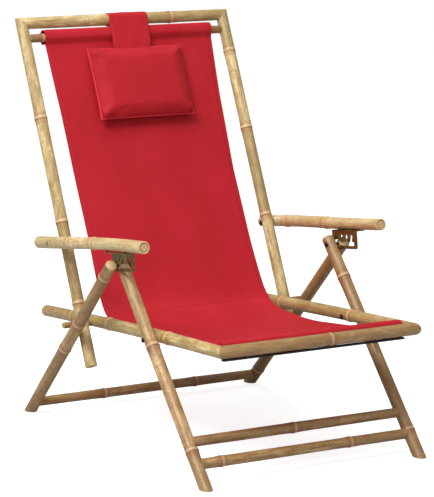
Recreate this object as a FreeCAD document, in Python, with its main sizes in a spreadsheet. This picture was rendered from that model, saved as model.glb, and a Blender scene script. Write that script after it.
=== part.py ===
import FreeCAD, Part
import math
import os

from FreeCAD import Placement, Rotation, Vector

# Folding recliner of bamboo poles with a cloth sling and a tied-on head pillow.
# Millimetres, +Z up, the sitter faces -Y. The origin is on the floor under the
# middle of the chair.

os.makedirs("parts", exist_ok=True)
doc = FreeCAD.newDocument("BambooRecliner")

# Driving dimensions
SIZES = {
    "frame_half": 270.0,        # middle of the chair to the axis of a back rail or front leg
    "pole_dia": 28.0,           # main bamboo poles
    "cross_dia": 23.0,          # crossbars between the legs
    "slim_dia": 20.0,           # rods in the cloth hems
    "pivot_rod_dia": 14.0,      # rod on which the seat and the back turn
    "seat_gap": 3.0,            # free space from the seat rails to the back rails
    "leg_gap": 4.0,             # free space from the back rails to the rear legs
    "node_rise": 0.8,           # how far a bamboo node stands out
    "node_width": 9.0,
    "hollow_dia": 13.0,         # bore of a bamboo end
    "hollow_depth": 24.0,
    "seat_slope": 4.3,          # degrees, front higher
    "seat_front": 595.3,        # pivot rod to the axis of the front rail
    "seat_rear": 258.0,         # pivot rod to the free rear ends of the seat rails
    "pivot_z": 250.0,
    "back_angle": 65.0,         # degrees from the floor
    "back_above": 731.9,        # pivot rod to the axis of the top bar
    "back_below": 103.0,        # pivot rod to the free lower ends
    "top_rod_drop": 38.0,       # top bar to the rod in the upper hem
    "leg_bolt_reach": 327.0,    # pivot rod to the front leg bolts
    "front_leg_angle": 47.9,    # degrees from the floor
    "leg_bolt_offset": 5.4,     # bolts sit this far from the axis of the leg
    "leg_bolt_spacing": 186.6,  # along the front leg, lower bolt to top bolt
    "leg_top": 24.0,            # front leg above its top bolt
    "upper_bar_drop": 260.0,    # lower bolt to the upper crossbar
    "lower_bar_drop": 314.0,    # lower bolt to the lower crossbar
    "rear_leg_clear": 24.1437,  # pivot rod's axis to the axis of the rear legs that pass it
    "rear_leg_top": 9.0,        # rear leg above the top bolt
    "rear_bar_drop": 563.0,     # top bolt to the rear crossbar
    "arm_bolt_height": 197.7,   # along the back, pivot rod to the armrest bolts
    "arm_bolt_offset": 6.2,
    "arm_slope": 7.5,           # degrees, front higher
    "arm_front": 460.0,         # armrest bolt to the front end
    "arm_rear": 71.0,
    "arm_inset": 0.4,           # armrests sit this much further in than the rear legs
    "bolt_dia": 6.0,
    "head_dia": 13.0,
    "head_height": 3.0,
    "nut_height": 5.0,
    "thin_nut_height": 2.4,
    "running_gap": 0.08,        # radial, a bolt in the pole that turns on it
    "side_gap": 0.4,            # between a bolt head and a pole that turns under it
    "plate_rear": 20.0,         # top bolt to the rear end of the bracket
    "plate_length": 105.0,
    "plate_thick": 2.4,
    "plate_below": 12.0,        # top bolt to the lower edge of the bracket
    "flange_width": 22.0,
    "corner_radius": 7.0,
    "channel_height": 9.4,
    "channel_length": 69.0,     # travel of the top bolt in the bracket
    "notch_pitch": 21.0,
    "notch_width": 9.0,
    "notch_height": 17.0,
    "notch_lean": 14.0,         # degrees, tops lean forward
    "pocket_rear": 10.0,        # rear pocket of the slot, round the top bolt
    "pocket_front": 14.0,
    "pocket_half": 9.0,
    "plug_dia": 19.0,
    "plug_length": 26.0,
    "strip_height": 8.0,
    "strip_depth": 13.0,
    "strip_inset": 1.0,         # strip ends inside the axes of the seat rails
    "screw_dia": 3.4,
    "screw_head_dia": 7.0,
    "screw_length": 11.0,
    "cloth_thick": 2.0,
    "cloth_gap": 0.3,
    "back_cloth_gap": 37.0,     # back rails to the side of the back cloth at its ends
    "back_cloth_drawn": 10.0,   # how far its sides are drawn in
    "back_cloth_sag": 16.0,
    "seat_cloth_gap": 4.0,      # seat rails to the side of the seat cloth at its ends
    "seat_cloth_drawn": 22.0,
    "seat_cloth_sag": 22.0,
    "front_rod_setback": 29.0,  # front rail to the rod in the front hem
    "front_rod_rise": 8.0,      # that rod above the middle of the rails
    "sleeve_gap": 8.0,          # seat rails to the ends of the sleeve
    "pillow_width": 246.0,
    "pillow_height": 174.0,
    "pillow_thick": 58.0,
    "pillow_edge": 26.0,
    "pillow_drop": 74.0,        # top bar axis to the pillow's upper edge
    "pillow_shift": 10.0,       # the pillow hangs a little off the middle
    "strap_width": 104.0,
    "strap_thick": 2.0,
    "strap_tuck": 9.0,          # end of the strap inside the pillow's seam
}

sheet = doc.addObject("Spreadsheet::Sheet", "sizes")
for row, (alias, value) in enumerate(SIZES.items(), start=1):
    sheet.set(f"A{row}", alias)
    sheet.set(f"B{row}", str(value))
    sheet.setAlias(f"B{row}", alias)
doc.recompute()


def size(alias):
    return float(sheet.get(alias))


X_AXIS = Vector(1, 0, 0)
Z_AXIS = Vector(0, 0, 1)
SIDES = (("left", -1), ("right", 1))

pole_r = size("pole_dia") / 2
seat_half = size("frame_half") - size("pole_dia") - size("seat_gap")
leg_half = size("frame_half") + size("pole_dia") + size("leg_gap")
arm_half = leg_half - size("arm_inset")
back_cloth_half = size("frame_half") - pole_r - size("back_cloth_gap")
seat_cloth_half = seat_half - pole_r - size("seat_cloth_gap")
sleeve_half = seat_half - pole_r - size("sleeve_gap")
strip_half = seat_half - size("strip_inset")


# Side geometry: every assembly has a frame whose local Z runs along its poles
def direction(degrees):
    angle = math.radians(degrees)
    return Vector(0, math.cos(angle), math.sin(angle))


def assembly(origin, degrees):
    """Frame at origin with local Z along a line at this angle from the floor."""
    return Placement(origin, Rotation(X_AXIS, degrees - 90))


seat_angle = 180 - size("seat_slope")
top_y = size("back_above") * direction(size("back_angle")).y
front_y = size("seat_front") * direction(seat_angle).y
strap_reach = pole_r + size("cloth_gap") + size("strap_thick")
pivot = Vector(0, -(top_y + strap_reach + front_y - pole_r) / 2, size("pivot_z"))
back_place = assembly(pivot, size("back_angle"))
seat_place = assembly(pivot, seat_angle)
leg_bolt = seat_place.multVec(Vector(0, 0, size("leg_bolt_reach")))
leg_axis = leg_bolt - direction(size("front_leg_angle") - 90) * size("leg_bolt_offset")
leg_place = assembly(leg_axis, size("front_leg_angle"))
top_bolt = leg_place.multVec(Vector(0, -size("leg_bolt_offset"), size("leg_bolt_spacing")))
to_rod = pivot - top_bolt
rear_leg_angle = math.degrees(math.atan2(-to_rod.z, to_rod.y)
                              + math.asin(size("rear_leg_clear") / to_rod.Length))
rear_place = assembly(top_bolt, 180 - rear_leg_angle)
arm_bolt = back_place.multVec(Vector(0, size("arm_bolt_offset"), size("arm_bolt_height")))
arm_place = assembly(arm_bolt, 180 - size("arm_slope"))
pin = arm_place.inverse().multVec(top_bolt)

finished = []


# Helpers that make bound primitives in the frame of an assembly
def cylinder(name, radius, height, base, axis=Z_AXIS):
    """A Part::Cylinder whose radius and height are expressions on the sheet."""
    part = doc.addObject("Part::Cylinder", name)
    part.setExpression("Radius", radius)
    part.setExpression("Height", height)
    part.Placement = Placement(base, Rotation(Z_AXIS, axis))
    return part


def box(name, length, width, height, place):
    part = doc.addObject("Part::Box", name)
    part.setExpression("Length", length)
    part.setExpression("Width", width)
    part.setExpression("Height", height)
    part.Placement = place
    return part


def fuse(name, parts):
    if len(parts) == 1:
        return parts[0]
    union = doc.addObject("Part::MultiFuse", name)
    union.Shapes = parts
    return union


def cut(name, base, tools):
    result = doc.addObject("Part::Cut", name)
    result.Base = base
    result.Tool = fuse(name + "_tools", tools)
    return result


def finish(part, label, place):
    """Name the finished sub-part and put it in its place."""
    part.Label = label
    part.Placement = place.multiply(part.Placement)
    finished.append(part)


def grown(name, dia, length, base, axis, nodes):
    """A bamboo pole with a low double cone round it at each node."""
    parts = [cylinder(name + "_wood", f"sizes.{dia} / 2", str(length), base, axis)]
    for number, along in enumerate(nodes):
        for side in (-1, 1):
            ring = doc.addObject("Part::Cone", f"{name}_node_{number}_{side + 1}")
            ring.setExpression("Radius1", f"sizes.{dia} / 2")
            ring.setExpression("Radius2", f"sizes.{dia} / 2 + sizes.node_rise")
            ring.setExpression("Height", "sizes.node_width / 2")
            start = base + axis * (along - side * size("node_width") / 2)
            ring.Placement = Placement(start, Rotation(Z_AXIS, axis * side))
            parts.append(ring)
    return fuse(name + "_grown", parts)


def cross_hole(name, x, y, z, dia="bolt_dia"):
    """A hole along X through a side pole, centred on x."""
    start = Vector(x - size("pole_dia"), y, z)
    return cylinder(name, f"sizes.{dia} / 2 + sizes.running_gap", "sizes.pole_dia * 2", start, X_AXIS)


def hollow(name, base, axis=Z_AXIS):
    """The open end of a bamboo pole, bored both ways from base along axis."""
    start = base - axis * size("hollow_depth")
    return cylinder(name, "sizes.hollow_dia / 2", "sizes.hollow_depth * 2", start, axis)


def mitre(name, x, z, tilt):
    """A large block whose lower face is the mitre plane through local (x, z)."""
    turn = Rotation(Vector(0, 1, 0), tilt)
    middle = turn.multVec(Vector(3 * size("pole_dia"), 3 * size("pole_dia"), 0))
    edge = "6 * sizes.pole_dia"
    return box(name, edge, edge, edge, Placement(Vector(x, 0, z) - middle, turn))


def below_floor(name, place):
    """A block under the floor, given in the frame of an assembly."""
    reach = 4 * size("frame_half")
    world = Placement(Vector(-reach, -reach, -reach), Rotation())
    return box(name, "8 * sizes.frame_half", "8 * sizes.frame_half", "4 * sizes.frame_half",
               place.inverse().multiply(world))


# Mitred frames of the back and the seat: two rails and a bar across their ends
def frame_rail(label, side, half, place, reach, tail, holes, nodes):
    x = side * half
    wood = grown(label, "pole_dia", reach + tail + size("pole_dia"), Vector(x, 0, -tail), Z_AXIS, nodes)
    tools = [mitre(label + "_mitre", x, reach, -45 * side), hollow(label + "_bore", Vector(x, 0, -tail))]
    for number, (y, z, dia) in enumerate(holes):
        tools.append(cross_hole(f"{label}_hole_{number}", x, y, z, dia))
    finish(cut(label + "_cut", wood, tools), label, place)


def frame_bar(label, half, place, reach, nodes):
    length = 2 * half + 2 * size("pole_dia")
    wood = grown(label, "pole_dia", length, Vector(-length / 2, 0, reach), X_AXIS, nodes)
    tools = [mitre(f"{label}_mitre_{name}", side * half, reach, 180 - 45 * side) for name, side in SIDES]
    finish(cut(label + "_cut", wood, tools), label, place)


BACK_NODES = {"left": (150, 345, 598), "right": (70, 318, 540, 739)}
SEAT_NODES = {"left": (110, 372, 640), "right": (64, 300, 603)}
for side_name, side in SIDES:
    frame_rail(f"back_rail_{side_name}", side, size("frame_half"), back_place,
               size("back_above"), size("back_below"),
               [(0, 0, "pivot_rod_dia"), (size("arm_bolt_offset"), size("arm_bolt_height"), "bolt_dia")],
               BACK_NODES[side_name])
    frame_rail(f"seat_rail_{side_name}", side, seat_half, seat_place,
               size("seat_front"), size("seat_rear"),
               [(0, 0, "pivot_rod_dia"), (0, size("leg_bolt_reach"), "bolt_dia")],
               SEAT_NODES[side_name])
frame_bar("back_top_bar", size("frame_half"), back_place, size("back_above"), (130, 388))
frame_bar("seat_front_rail", seat_half, seat_place, size("seat_front"), (96, 322))

# Rod on which the seat and the back turn; its hollow ends show behind the rear legs
rod_half = leg_half + pole_r + 4
rod = cylinder("rod_wood", "sizes.pivot_rod_dia / 2", str(2 * rod_half), Vector(-rod_half, 0, 0), X_AXIS)
bores = [cylinder(f"rod_bore_{name}", "sizes.pivot_rod_dia / 4", "sizes.hollow_depth * 2",
                  Vector(side * rod_half - size("hollow_depth"), 0, 0), X_AXIS) for name, side in SIDES]
finish(cut("rod_cut", rod, bores), "pivot_rod", back_place)


# Rods in the cloth hems, their ends hollowed to fit the rails
def hem_rod(label, half, place, y, z):
    wood = cylinder(label + "_wood", "sizes.slim_dia / 2", str(2 * half), Vector(-half, y, z), X_AXIS)
    tools = [cylinder(f"{label}_end_{name}", "sizes.pole_dia / 2", "sizes.pole_dia * 4",
                      Vector(side * half, 0, z - 2 * size("pole_dia"))) for name, side in SIDES]
    finish(cut(label + "_cut", wood, tools), label, place)


top_rod_z = size("back_above") - size("top_rod_drop")
front_rod_z = size("seat_front") - size("front_rod_setback")
hem_rod("sling_top_rod", size("frame_half"), back_place, 0, top_rod_z)
hem_rod("sling_front_rod", seat_half, seat_place, size("front_rod_rise"), front_rod_z)


# Legs with their crossbars
def leg(label, x, place, top, foot, holes, nodes):
    """A leg from above its top bolt down to the floor, cut level with it."""
    wood = grown(label, "pole_dia", top + foot, Vector(x, 0, -foot), Z_AXIS, nodes)
    tools = [below_floor(label + "_floor", place)]
    for number, (y, z) in enumerate(holes):
        tools.append(cross_hole(f"{label}_hole_{number}", x, y, z))
    finish(cut(label + "_cut", wood, tools), label, place)


def crossbar(label, half, place, z, nodes):
    """A bar between two legs, its ends hollowed to fit round them."""
    wood = grown(label, "cross_dia", 2 * half, Vector(-half, 0, z), X_AXIS, nodes)
    tools = [cylinder(f"{label}_end_{name}", "sizes.pole_dia / 2", "sizes.pole_dia * 4",
                      Vector(side * half, 0, z - 2 * size("pole_dia"))) for name, side in SIDES]
    finish(cut(label + "_cut", wood, tools), label, place)


front_foot = leg_bolt.z / direction(size("front_leg_angle")).z + size("pole_dia")
rear_foot = top_bolt.z / direction(rear_leg_angle).z + size("pole_dia")
FRONT_NODES = {"left": (170, 376), "right": (212, 496)}
REAR_NODES = {"left": (210, 390, 570), "right": (88, 330, 520)}
for side_name, side in SIDES:
    leg(f"front_leg_{side_name}", side * size("frame_half"), leg_place,
        size("leg_bolt_spacing") + size("leg_top"), front_foot,
        [(size("leg_bolt_offset"), 0), (-size("leg_bolt_offset"), size("leg_bolt_spacing"))],
        FRONT_NODES[side_name])
    leg(f"rear_leg_{side_name}", side * leg_half, rear_place, size("rear_leg_top"), rear_foot,
        [(0, 0)], REAR_NODES[side_name])
crossbar("front_crossbar_upper", size("frame_half"), leg_place, -size("upper_bar_drop"), (258,))
crossbar("front_crossbar_lower", size("frame_half"), leg_place, -size("lower_bar_drop"), (57, 380))
crossbar("rear_crossbar", leg_half, rear_place, -size("rear_bar_drop"), (180, 431))


# Bolts along X: a domed head toward the middle of the chair and a nut on the far side
def bolt(label, side, head_x, nut_x, y, z, place, nut_height):
    """Head seat at head_x, nut seat at nut_x, both as distances from the middle."""
    inward = X_AXIS * -side
    seat = Vector(side * head_x, y, z)
    length = nut_x + size(nut_height) + 1 - head_x
    shank = cylinder(label + "_shank", "sizes.bolt_dia / 2", str(length), seat, inward * -1)
    head = doc.addObject("Part::Cone", label + "_head")
    head.setExpression("Radius1", "sizes.head_dia / 2")
    head.setExpression("Radius2", "sizes.head_dia / 4")
    head.setExpression("Height", "sizes.head_height")
    head.Placement = Placement(seat, Rotation(Z_AXIS, inward))
    nut = doc.addObject("Part::Prism", label + "_nut")
    nut.Polygon = 6
    nut.setExpression("Circumradius", "sizes.bolt_dia * 0.95")
    nut.setExpression("Height", f"sizes.{nut_height}")
    nut.Placement = Placement(Vector(side * nut_x, y, z), Rotation(Z_AXIS, inward * -1))
    finish(fuse(label + "_joined", [shank, head, nut]), label, place)


gap = size("side_gap")
for side_name, side in SIDES:
    bolt(f"seat_bolt_{side_name}", side, seat_half - pole_r - gap, size("frame_half") + pole_r,
         size("leg_bolt_offset"), 0, leg_place, "thin_nut_height")
    bolt(f"top_bolt_{side_name}", side, size("frame_half") - pole_r, leg_half + pole_r + gap,
         -size("leg_bolt_offset"), size("leg_bolt_spacing"), leg_place, "nut_height")
    bolt(f"arm_bolt_{side_name}", side, size("frame_half") - pole_r - gap, arm_half + pole_r + gap,
         0, 0, arm_place, "nut_height")


# Armrests with a plug in the open front end
def armrest(side_name, side):
    label = f"armrest_{side_name}"
    x = side * arm_half
    nodes = {"left": (121, 173, 291), "right": (122, 302)}[side_name]
    rear = Vector(x, 0, -size("arm_rear"))
    front = Vector(x, 0, size("arm_front") - size("plug_length"))
    wood = grown(label, "pole_dia", size("arm_rear") + size("arm_front"), rear, Z_AXIS, nodes)
    tools = [cylinder(label + "_plug_bore", "sizes.plug_dia / 2", "sizes.plug_length + 1", front),
             cross_hole(label + "_hole", x, 0, 0), hollow(label + "_bore", rear)]
    for number, z in enumerate(screw_spots):
        start = Vector(x, -pole_r - size("plate_thick"), z)
        tools.append(cylinder(f"{label}_screw_hole_{number}", "sizes.screw_dia / 2",
                              "sizes.screw_length", start, Vector(0, 1, 0)))
    finish(cut(label + "_cut", wood, tools), label, arm_place)
    plug = cylinder(label + "_plug_wood", "sizes.plug_dia / 2", "sizes.plug_length - 1", front)
    finish(plug, f"armrest_plug_{side_name}", arm_place)


# Bracket under each armrest: an angle plate whose slot takes the top bolt
def slot(name, width, x, start, length, lean):
    """Slot with round ends in the plate, from start = (y, z) along a leaning line."""
    turn = Rotation(X_AXIS, lean)
    place = Placement(Vector(x, start[0], start[1]), turn)
    far = place.multVec(Vector(0, 0, length))
    deep = "sizes.plate_thick * 5"
    half = Vector(0, -size(width) / 2, 0)
    bar = box(name + "_bar", deep, f"sizes.{width}", str(length), Placement(place.multVec(half), turn))
    return [bar, cylinder(name + "_near", f"sizes.{width} / 2", deep, place.Base, X_AXIS),
            cylinder(name + "_far", f"sizes.{width} / 2", deep, far, X_AXIS)]


def bracket(side_name, side):
    label = f"armrest_bracket_{side_name}"
    thick = size("plate_thick")
    inner = arm_half - pole_r - thick
    x = inner if side > 0 else -inner - thick
    rear = pin.z - size("plate_rear")
    plate = box(label + "_plate", "sizes.plate_thick", str(-pole_r - pin.y + size("plate_below")),
                "sizes.plate_length", Placement(Vector(x, pin.y - size("plate_below"), rear), Rotation()))
    flange_x = inner if side > 0 else -inner - size("flange_width")
    flange = box(label + "_flange", "sizes.flange_width", "sizes.plate_thick", "sizes.plate_length",
                 Placement(Vector(flange_x, -pole_r - thick, rear), Rotation()))
    body = fuse(label + "_angle", [plate, flange])
    rounded = doc.addObject("Part::Fillet", label + "_rounded")
    rounded.Base = body
    doc.recompute()
    lowest = pin.y - size("plate_below")
    rounded.Edges = [(number, size("corner_radius"), size("corner_radius"))
                     for number, edge in enumerate(body.Shape.Edges, start=1)
                     if all(abs(vertex.Y - lowest) < 0.01 for vertex in edge.Vertexes)
                     and abs(edge.Length - thick) < 0.01]
    deep_x = x - 2 * thick
    tools = slot(label + "_channel", "channel_height", deep_x, (pin.y, pin.z),
                 size("channel_length"), 0)
    for number in range(1, 4):
        spot = (pin.y, pin.z + number * size("notch_pitch") - 5)
        tools += slot(f"{label}_notch_{number}", "notch_width", deep_x, spot,
                      size("notch_height"), -90 + size("notch_lean"))
    pocket = box(label + "_pocket", "sizes.plate_thick * 5", "sizes.pocket_half * 2",
                 "sizes.pocket_rear + sizes.pocket_front",
                 Placement(Vector(deep_x, pin.y - size("pocket_half"), pin.z - size("pocket_rear")), Rotation()))
    tools.append(pocket)
    for number, z in enumerate(screw_spots):
        start = Vector(side * arm_half, -pole_r - thick, z)
        tools.append(cylinder(f"{label}_screw_hole_{number}", "sizes.screw_dia / 2", "sizes.plate_thick * 2",
                              start - Vector(0, thick / 2, 0), Vector(0, 1, 0)))
    finish(cut(label + "_cut", rounded, tools), label, arm_place)
    for number, z in enumerate(screw_spots, start=1):
        start = Vector(side * arm_half, -pole_r - thick, z)
        shank = cylinder(f"{label}_screw_{number}", "sizes.screw_dia / 2", "sizes.screw_length - 0.5",
                         start, Vector(0, 1, 0))
        finish(shank, f"bracket_screw_{side_name}_{number}", arm_place)


screw_spots = (pin.z - size("plate_rear") + 6, pin.z - size("plate_rear") + size("plate_length") - 9)
for side_name, side in SIDES:
    armrest(side_name, side)
    bracket(side_name, side)

# Dark strip under the front rail and its screws
strip_top = -pole_r - size("node_rise")
strip_place = Placement(Vector(-strip_half, strip_top - size("strip_height"),
                               size("seat_front") - size("strip_depth") / 2), Rotation())
strip = box("strip_wood", str(2 * strip_half), "sizes.strip_height", "sizes.strip_depth", strip_place)
finish(strip, "front_rail_strip", seat_place)


# Cloth: sheets that sag between the rods, with a tunnel round each rod
def sagging(label, half, drawn, sag, toward, start, end, place, tunnel_z):
    """A sheet bent round X between local z = start and z = end, sagging along Y."""
    span = end - start
    depth = size(sag)
    radius = span * span / (8 * depth) + depth / 2
    middle = (start + end) / 2
    centre = -toward * (radius - depth)
    outer = cylinder(label + "_outer", f"{radius} + sizes.cloth_thick / 2", str(2 * half),
                     Vector(-half, centre, middle), X_AXIS)
    inner = cylinder(label + "_inner", f"{radius} - sizes.cloth_thick / 2", str(2 * half + 2),
                     Vector(-half - 1, centre, middle), X_AXIS)
    ring = cut(label + "_ring", outer, [inner])
    window = box(label + "_window", str(2 * half), "200", str(span),
                 Placement(Vector(-half, -100, start), Rotation()))
    sheet_part = doc.addObject("Part::Common", label + "_sheet")
    sheet_part.Base = ring
    sheet_part.Tool = window
    tube = cylinder(label + "_tube", "sizes.slim_dia / 2 + sizes.cloth_gap + sizes.cloth_thick",
                    str(2 * half), Vector(-half, 0, tunnel_z), X_AXIS)
    bore = cylinder(label + "_tube_bore", "sizes.slim_dia / 2 + sizes.cloth_gap",
                    str(2 * half + 2), Vector(-half - 1, 0, tunnel_z), X_AXIS)
    drawn_in = size(drawn)
    side_r = span * span / (8 * drawn_in) + drawn_in / 2
    sides = [cylinder(f"{label}_side_{name}", str(side_r), "200",
                      Vector(side * (half - drawn_in + side_r), 100, middle), Vector(0, -1, 0))
             for name, side in SIDES]
    trimmed = cut(label + "_trimmed", sheet_part, sides)
    finish(cut(label + "_hemmed", fuse(label + "_joined", [trimmed, tube]), [bore]), label, place)


sleeve_r = size("pivot_rod_dia") / 2 + size("cloth_gap") + size("cloth_thick")
tunnel_wall = size("slim_dia") / 2 + size("cloth_gap") + size("cloth_thick") / 2
sheet_start = sleeve_r + size("cloth_gap")
sagging("sling_back", back_cloth_half, "back_cloth_drawn", "back_cloth_sag", 1,
        sheet_start, top_rod_z - tunnel_wall, back_place, top_rod_z)
seat_reach = math.hypot(front_rod_z, size("front_rod_rise"))
seat_tilt = math.degrees(math.atan2(size("front_rod_rise"), front_rod_z))
sagging("sling_seat", seat_cloth_half, "seat_cloth_drawn", "seat_cloth_sag", -1,
        sheet_start, seat_reach - tunnel_wall, assembly(pivot, seat_angle - seat_tilt), seat_reach)
sleeve = cylinder("sleeve_outer", "sizes.pivot_rod_dia / 2 + sizes.cloth_gap + sizes.cloth_thick",
                  str(2 * sleeve_half), Vector(-sleeve_half, 0, 0), X_AXIS)
bore = cylinder("sleeve_bore", "sizes.pivot_rod_dia / 2 + sizes.cloth_gap",
                str(2 * sleeve_half + 2), Vector(-sleeve_half - 1, 0, 0), X_AXIS)
finish(cut("sleeve_cut", sleeve, [bore]), "sling_sleeve", back_place)

# Head pillow on its strap over the top bar
pillow_top = size("back_above") - size("pillow_drop")
pillow_back = 2.8
pillow_mid = pillow_back - size("pillow_thick") / 2
strap_x = size("pillow_shift") - size("strap_width") / 2
block = box("pillow_block", "sizes.pillow_width", "sizes.pillow_thick", "sizes.pillow_height",
            Placement(Vector(size("pillow_shift") - size("pillow_width") / 2,
                             pillow_back - size("pillow_thick"),
                             pillow_top - size("pillow_height")), Rotation()))
pillow = doc.addObject("Part::Fillet", "pillow_rounded")
pillow.Base = block
doc.recompute()
pillow.Edges = [(number, size("pillow_edge"), size("pillow_edge")) for number in range(1, 13)]
bar_front = -(pole_r + size("cloth_gap") + size("strap_thick"))
run_foot = Vector(strap_x, pillow_mid - size("strap_thick") / 2, pillow_top - size("strap_tuck"))
run_head = Vector(strap_x, bar_front, size("back_above"))
run = run_head - run_foot
run_turn = Rotation(X_AXIS, -math.degrees(math.atan2(run.y, run.z)))
seam = box("strap_seam", "sizes.strap_width + 0.4", "sizes.strap_thick + 0.4", "60",
           Placement(run_foot - Vector(0.2, 0.2, 0.2), run_turn))
finish(cut("pillow_cut", pillow, [seam]), "headrest_pillow", back_place)
band = box("strap_run", "sizes.strap_width", "sizes.strap_thick", str(run.Length), Placement(run_foot, run_turn))
loop = cylinder("strap_loop", "sizes.pole_dia / 2 + sizes.cloth_gap + sizes.strap_thick",
                "sizes.strap_width", Vector(strap_x, 0, size("back_above")), X_AXIS)
eye = cylinder("strap_eye", "sizes.pole_dia / 2 + sizes.cloth_gap", "sizes.strap_width + 2",
               Vector(strap_x - 1, 0, size("back_above")), X_AXIS)
finish(cut("strap_cut", fuse("strap_joined", [band, loop]), [eye]), "headrest_strap", back_place)

# Check and export
doc.recompute()
for part in doc.Objects:
    if "Invalid" in part.State or "Error" in part.State:
        raise RuntimeError(f"{part.Name} did not build")
for part in finished:
    if not part.Shape.isValid() or len(part.Shape.Solids) != 1:
        raise RuntimeError(f"{part.Label} is not one valid solid")
    part.Shape.exportStep(f"parts/{part.Label}.step")
print(len(finished), "sub-parts written")
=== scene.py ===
"""Folding bamboo recliner with a red cloth sling, a head pillow and notched armrest brackets."""

import logging
import math
from dataclasses import dataclass
from enum import Enum
from functools import cache

import bpy
import numpy as np
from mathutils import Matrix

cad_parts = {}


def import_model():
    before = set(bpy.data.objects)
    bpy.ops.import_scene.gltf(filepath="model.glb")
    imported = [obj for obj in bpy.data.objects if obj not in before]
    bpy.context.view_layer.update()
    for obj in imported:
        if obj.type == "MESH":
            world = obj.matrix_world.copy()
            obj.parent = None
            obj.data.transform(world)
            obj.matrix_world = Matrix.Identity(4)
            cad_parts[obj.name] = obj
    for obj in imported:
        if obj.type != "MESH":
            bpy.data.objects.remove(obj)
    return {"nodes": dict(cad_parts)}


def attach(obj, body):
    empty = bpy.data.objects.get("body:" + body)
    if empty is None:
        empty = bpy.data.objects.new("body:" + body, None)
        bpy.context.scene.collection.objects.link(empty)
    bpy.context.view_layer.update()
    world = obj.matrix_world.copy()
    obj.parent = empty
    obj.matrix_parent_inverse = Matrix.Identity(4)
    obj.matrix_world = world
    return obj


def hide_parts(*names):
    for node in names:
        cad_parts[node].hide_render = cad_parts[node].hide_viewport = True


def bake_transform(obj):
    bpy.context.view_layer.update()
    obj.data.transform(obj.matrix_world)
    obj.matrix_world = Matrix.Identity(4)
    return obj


log = logging.getLogger("recliner")
MM = 0.001
Vec2 = tuple[float, float]
Vec3 = tuple[float, float, float]
Spots = tuple[float, ...]
Piece = bpy.types.Object
Array = np.ndarray
Profile = tuple[Vec2, ...]
Socket = bpy.types.NodeSocket
Feed = float | str | tuple | bpy.types.Node | Socket


# Materials


def linear(code: str) -> tuple[float, float, float, float]:
    """Turn an sRGB hex colour such as "B81F26" into linear RGBA.

    Args:
        code: six hex digits.

    Returns:
        Linear red, green, blue and an alpha of 1.
    """
    parts = [int(code[i:i + 2], 16) / 255 for i in (0, 2, 4)]
    red, green, blue = (p / 12.92 if p <= 0.04045 else ((p + 0.055) / 1.055) ** 2.4 for p in parts)
    return red, green, blue, 1.0


class Nodes:
    """A shader node tree that starts empty, and the sums and patterns that the finishes need."""

    def __init__(self, owner: bpy.types.Material | bpy.types.World) -> None:
        """Take over the tree of a material or a world."""
        owner.use_nodes = True
        self.tree = owner.node_tree
        self.tree.nodes.clear()

    def add(self, kind: str, inputs: dict[int | str, Feed] | None = None, **settings) -> bpy.types.Node:
        """Add one shader node with its settings, values and links.

        Args:
            kind: Blender's node type, without the word ShaderNode.
            inputs: socket name or number to a value, a hex colour, or the node or socket that feeds it.
            settings: properties of the node.

        Returns:
            The new node.
        """
        node = self.tree.nodes.new("ShaderNode" + kind)
        for key, value in settings.items():
            setattr(node, key, value)
        for key, value in (inputs or {}).items():
            if isinstance(value, str):
                value = linear(value)
            if isinstance(value, bpy.types.Node):
                value = value.outputs[0]
            if isinstance(value, Socket):
                self.tree.links.new(value, node.inputs[key])
            else:
                node.inputs[key].default_value = value
        return node

    def product(self, result: Feed, *others: Feed) -> Feed:
        """Multiply values.

        Args:
            result: the first value.
            others: the values that it is multiplied by.

        Returns:
            Their product, or the first value where there is no other.
        """
        for other in others:
            result = self.add("Math", {0: result, 1: other}, operation="MULTIPLY")
        return result

    def total(self, *terms: tuple[Feed, float]) -> Feed:
        """Add values up.

        Args:
            terms: each value with its weight.

        Returns:
            The weighted sum.
        """
        result, *rest = [self.product(value, weight) for value, weight in terms]
        for part in rest:
            result = self.add("Math", {0: result, 1: part}, operation="ADD")
        return result

    def tinted(self, colour: Feed, tint: Feed, *shares: Feed) -> Socket:
        """Mix a tint into a colour, by the product of the shares."""
        return self.add("Mix", {0: self.product(*shares), 6: colour, 7: tint}, data_type="RGBA").outputs[2]

    def above(self, value: Feed, low: float, soft: float) -> Feed:
        """Return 1 where value is over low, falling off over soft below it."""
        return self.add("MapRange", {0: value, 1: low - soft, 2: low}, interpolation_type="SMOOTHSTEP")

    def below(self, value: Feed, high: float, soft: float) -> Feed:
        """Return 1 where value is under high, falling off over soft above it."""
        return self.add("MapRange", {0: value, 1: high, 2: high + soft, 3: 1.0, 4: 0.0},
                        interpolation_type="SMOOTHSTEP")

    def band(self, value: Feed, low: float, high: float, soft: float) -> Feed:
        """Return 1 where value lies from low to high, falling off over soft on both sides."""
        return self.product(self.above(value, low, soft), self.below(value, high, soft))

    def mottle(self, at: Feed, stretch: Vec3, detail: float, roughness: float = 0.5,
               shift: Vec3 = (0, 0, 0), scale: float = 1.0) -> Socket:
        """Return a mottled pattern: fractal noise over a stretched and shifted vector."""
        mapped = self.add("Mapping", {"Vector": at, "Scale": stretch, "Location": shift})
        return self.add("TexNoise", {"Vector": mapped, "Scale": scale, "Detail": detail,
                                     "Roughness": roughness}).outputs["Fac"]

    def surface(self, relief: Feed, strength: float, depth: float, inputs: dict[str, Feed]) -> None:
        """End the tree in a principled surface with a relief.

        Args:
            relief: its height.
            strength: how strongly it shows, from 0 to 1.
            depth: metres for a height of 1.
            inputs: the other values and links of the surface.
        """
        normal = self.add("Bump", {"Strength": strength, "Distance": depth, "Height": relief})
        shader = self.add("BsdfPrincipled", {**inputs, "Normal": normal})
        self.add("OutputMaterial", {"Surface": shader})


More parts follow.
